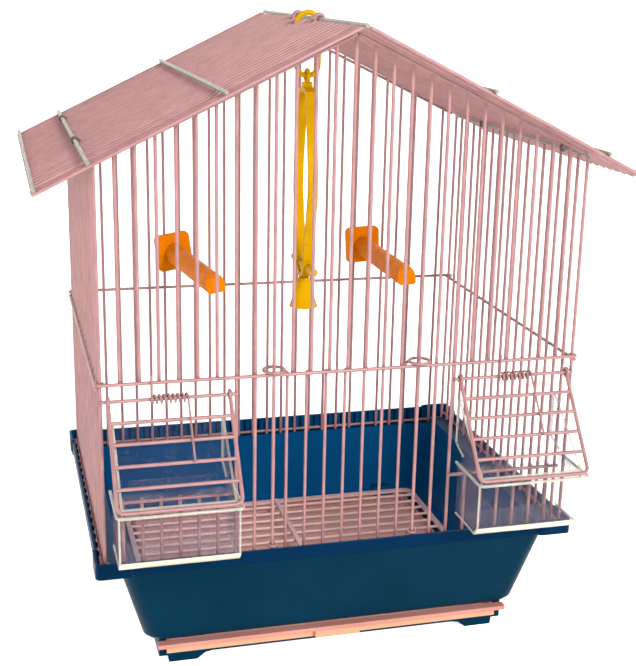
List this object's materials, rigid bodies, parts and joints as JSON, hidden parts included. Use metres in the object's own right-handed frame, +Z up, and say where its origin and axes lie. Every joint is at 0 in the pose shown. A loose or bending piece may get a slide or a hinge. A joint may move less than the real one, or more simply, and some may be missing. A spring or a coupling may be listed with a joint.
{
  "type": "bird cage",
  "caption": "Table-top wire bird cage with a gabled roof, sliding door, sprung feeder flaps, hooded cups, perches, a swing and a plastic base with a pull-out tray.",
  "frame": {"origin": "on the table under the middle of the cage, at feet level", "axes": "+Z up, -Y the front with the door and feeders, +X to the right seen from the front"},
  "size_m": [0.3448, 0.2688, 0.3769],
  "materials": {
    "base_plastic": "moulded, satin",
    "tray_plastic": "moulded, matte",
    "pink_wire": "powder coated",
    "grey_wire": "powder coated",
    "clip_wire": "blackened",
    "clear_plastic": "clear, moulded",
    "orange_plastic": "moulded, satin",
    "yellow_plastic": "moulded, satin"
  },
  "bodies": {
    "base": {"base_tub": "base_plastic"},
    "grate": {"floor_grate": "pink_wire"},
    "tray": {"litter_tray": "tray_plastic"},
    "cage": {"front_panel": "pink_wire", "rear_panel": "pink_wire", "left_panel": "pink_wire", "right_panel": "pink_wire", "top_rail_left": "grey_wire", "top_rail_right": "grey_wire", "roof_left": "pink_wire", "roof_right": "pink_wire", "roof_cross_left": "grey_wire", "roof_cross_right": "grey_wire", "ridge_wire": "grey_wire", "roof_clips": "clip_wire", "flap_hinge_left": "pink_wire", "flap_hinge_right": "pink_wire", "feeder_cup_left": "clear_plastic", "feeder_cup_right": "clear_plastic", "feeder_hood_left": "clear_plastic", "feeder_hood_right": "clear_plastic", "perch_left": "orange_plastic", "perch_right": "orange_plastic", "perch_nut_left": "orange_plastic", "perch_nut_right": "orange_plastic"},
    "door": {"sliding_door": "pink_wire"},
    "flap_left": {"feeder_flap_left": "pink_wire", "flap_spring_left": "pink_wire"},
    "flap_right": {"feeder_flap_right": "pink_wire", "flap_spring_right": "pink_wire"},
    "ring": {"hanging_ring": "yellow_plastic"},
    "swing": {"swing_frame": "yellow_plastic", "swing_perch": "yellow_plastic", "swing_bell": "yellow_plastic"},
    "handle": {"carry_handle": "pink_wire"}
  },
  "joints": [
    {"name": "cage_lift", "type": "slide", "parent": "base", "child": "cage", "axis": [0, 0, 1], "range_m": [0, 0.1]},
    {"name": "tray_slide", "type": "slide", "parent": "base", "child": "tray", "axis": [0, -1, 0], "range_m": [0, 0.17]},
    {"name": "grate_lift", "type": "slide", "parent": "base", "child": "grate", "axis": [0, 0, 1], "range_m": [0, 0.04]},
    {"name": "door_slide", "type": "slide", "parent": "cage", "child": "door", "axis": [0, 0, 1], "range_m": [0, 0.1]},
    {"name": "flap_left_hinge", "type": "hinge", "parent": "cage", "child": "flap_left", "pos_m": [-0.10231, -0.09487, 0.1715], "axis": [-1, 0, 0], "range_deg": [0, 110], "stiffness_Nm_per_rad": 0.004, "springref_deg": -51.57, "deforming": ["flap_spring_left"]},
    {"name": "flap_right_hinge", "type": "hinge", "parent": "cage", "child": "flap_right", "pos_m": [0.10231, -0.09487, 0.1715], "axis": [-1, 0, 0], "range_deg": [0, 110], "stiffness_Nm_per_rad": 0.004, "springref_deg": -51.57, "deforming": ["flap_spring_right"]},
    {"name": "ring_swing", "type": "hinge", "parent": "cage", "child": "ring", "pos_m": [0, 0.01115, 0.37222], "axis": [0, 1, 0], "range_deg": [-12, 12]},
    {"name": "swing_rock", "type": "hinge", "parent": "ring", "child": "swing", "pos_m": [0, 0.01115, 0.33752], "axis": [1, 0, 0], "range_deg": [-20, 20]},
    {"name": "handle_fold", "type": "hinge", "parent": "cage", "child": "handle", "pos_m": [0, 0.01115, 0.37222], "axis": [0, -1, 0], "range_deg": [0, 136]}
  ]
}
